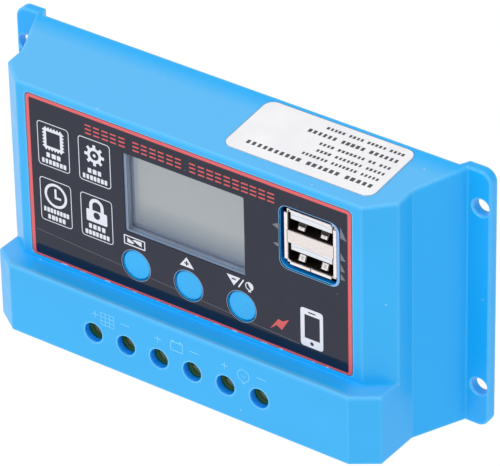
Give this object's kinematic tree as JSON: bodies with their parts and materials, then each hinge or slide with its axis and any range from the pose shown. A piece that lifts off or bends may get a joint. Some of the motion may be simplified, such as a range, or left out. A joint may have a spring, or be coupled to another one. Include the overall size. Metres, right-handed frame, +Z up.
{
  "type": "charge controller",
  "caption": "Wall-mounted solar charge controller: flared plastic casing, display, push buttons, stacked USB outlets, rising-cage screw terminals and finned rear plate.",
  "frame": {"origin": "centre of the four mounting holes, on the rear mounting plane", "axes": "+X right seen from the front, +Y into the wall, +Z up; the front panel faces -Y"},
  "size_m": [0.1334, 0.0322, 0.0688],
  "materials": {
    "casing_blue": "satin moulded",
    "film_dark": "printed, gloss",
    "window_clear": "polished",
    "holder_grey": "moulded",
    "display_glass": "polished",
    "light_guide": "polished",
    "tinned_wire": "tinned",
    "switch_black": "moulded",
    "tinned_steel": "tinned",
    "socket_steel": "nickel plated",
    "contact_metal": "plated",
    "socket_white": "moulded",
    "terminal_green": "moulded",
    "tinned_brass": "tinned",
    "moulding_black": "moulded",
    "screw_steel": "zinc plated",
    "pad_grey": "soft",
    "capacitor_can": "sleeved",
    "seal_rubber": "matte",
    "ferrite": "matte",
    "copper_winding": "enamelled copper",
    "resistor_body": "matte",
    "shunt_wire": "drawn resistance wire",
    "board_green": "solder mask",
    "heat_sink_aluminium": "satin anodised",
    "screw_black": "blackened",
    "label_white": "satin sticker",
    "button_blue": "satin moulded",
    "plunger_black": "moulded",
    "cage_steel": "zinc plated"
  },
  "bodies": {
    "housing": {"front_housing": "casing_blue", "front_overlay": "film_dark", "display_window": "window_clear", "display_holder": "holder_grey", "display_glass": "display_glass", "display_backlight": "light_guide", "display_pins": "tinned_wire", "switch_bases": "switch_black", "switch_plates": "tinned_steel", "switch_legs": "tinned_wire", "usb_shell": "socket_steel", "usb_contacts": "contact_metal", "usb_insulator": "socket_white", "terminal_block": "terminal_green", "conductor_bars": "tinned_brass", "transistor_bodies": "moulding_black", "transistor_tabs": "tinned_steel", "transistor_leads": "tinned_wire", "transistor_screws": "screw_steel", "thermal_pad": "pad_grey", "capacitor_cans": "capacitor_can", "capacitor_seals": "seal_rubber", "inductor_core": "ferrite", "inductor_winding": "copper_winding", "diode_bodies": "moulding_black", "component_leads": "tinned_wire", "controller_chip": "moulding_black", "driver_chips": "moulding_black", "chip_leads": "tinned_wire", "chip_resistors": "resistor_body", "current_shunt": "shunt_wire", "board_screws": "screw_steel", "main_board": "board_green", "rear_heat_sink": "heat_sink_aluminium", "heat_sink_screws": "screw_black", "rating_label": "label_white"},
    "menu_key": {"menu_button": "button_blue", "menu_switch_plunger": "plunger_black"},
    "up_key": {"up_button": "button_blue", "up_switch_plunger": "plunger_black"},
    "down_key": {"down_button": "button_blue", "down_switch_plunger": "plunger_black"},
    "screw_1": {"terminal_screw_1": "screw_steel"},
    "cage_1": {"clamp_cage_1": "cage_steel"},
    "screw_2": {"terminal_screw_2": "screw_steel"},
    "cage_2": {"clamp_cage_2": "cage_steel"},
    "screw_3": {"terminal_screw_3": "screw_steel"},
    "cage_3": {"clamp_cage_3": "cage_steel"},
    "screw_4": {"terminal_screw_4": "screw_steel"},
    "cage_4": {"clamp_cage_4": "cage_steel"},
    "screw_5": {"terminal_screw_5": "screw_steel"},
    "cage_5": {"clamp_cage_5": "cage_steel"},
    "screw_6": {"terminal_screw_6": "screw_steel"},
    "cage_6": {"clamp_cage_6": "cage_steel"}
  },
  "joints": [
    {"name": "menu_press", "type": "slide", "parent": "housing", "child": "menu_key", "axis": [0, 1, 0], "range_m": [0, 0.0004]},
    {"name": "up_press", "type": "slide", "parent": "housing", "child": "up_key", "axis": [0, 1, 0], "range_m": [0, 0.0004]},
    {"name": "down_press", "type": "slide", "parent": "housing", "child": "down_key", "axis": [0, 1, 0], "range_m": [0, 0.0004]},
    {"name": "screw_1_turn", "type": "hinge", "parent": "housing", "child": "screw_1", "pos_m": [-0.02375, -0.0284, -0.0262], "axis": [0, -1, 0], "range_deg": [-2430.5, 0]},
    {"name": "cage_1_lift", "type": "slide", "parent": "housing", "child": "cage_1", "axis": [0, -1, 0], "range_m": [0, 0.00337]},
    {"name": "screw_2_turn", "type": "hinge", "parent": "housing", "child": "screw_2", "pos_m": [-0.01425, -0.0284, -0.0262], "axis": [0, -1, 0], "range_deg": [-2430.5, 0]},
    {"name": "cage_2_lift", "type": "slide", "parent": "housing", "child": "cage_2", "axis": [0, -1, 0], "range_m": [0, 0.00337]},
    {"name": "screw_3_turn", "type": "hinge", "parent": "housing", "child": "screw_3", "pos_m": [-0.00475, -0.0284, -0.0262], "axis": [0, -1, 0], "range_deg": [-2430.5, 0]},
    {"name": "cage_3_lift", "type": "slide", "parent": "housing", "child": "cage_3", "axis": [0, -1, 0], "range_m": [0, 0.00337]},
    {"name": "screw_4_turn", "type": "hinge", "parent": "housing", "child": "screw_4", "pos_m": [0.00475, -0.0284, -0.0262], "axis": [0, -1, 0], "range_deg": [-2430.5, 0]},
    {"name": "cage_4_lift", "type": "slide", "parent": "housing", "child": "cage_4", "axis": [0, -1, 0], "range_m": [0, 0.00337]},
    {"name": "screw_5_turn", "type": "hinge", "parent": "housing", "child": "screw_5", "pos_m": [0.01425, -0.0284, -0.0262], "axis": [0, -1, 0], "range_deg": [-2430.5, 0]},
    {"name": "cage_5_lift", "type": "slide", "parent": "housing", "child": "cage_5", "axis": [0, -1, 0], "range_m": [0, 0.00337]},
    {"name": "screw_6_turn", "type": "hinge", "parent": "housing", "child": "screw_6", "pos_m": [0.02375, -0.0284, -0.0262], "axis": [0, -1, 0], "range_deg": [-2430.5, 0]},
    {"name": "cage_6_lift", "type": "slide", "parent": "housing", "child": "cage_6", "axis": [0, -1, 0], "range_m": [0, 0.00337]}
  ],
  "couplings": [
    {"joint": "screw_1_turn", "follows": "cage_1_lift", "rad_per_m": -12566},
    {"joint": "screw_2_turn", "follows": "cage_2_lift", "rad_per_m": -12566},
    {"joint": "screw_3_turn", "follows": "cage_3_lift", "rad_per_m": -12566},
    {"joint": "screw_4_turn", "follows": "cage_4_lift", "rad_per_m": -12566},
    {"joint": "screw_5_turn", "follows": "cage_5_lift", "rad_per_m": -12566},
    {"joint": "screw_6_turn", "follows": "cage_6_lift", "rad_per_m": -12566}
  ]
}
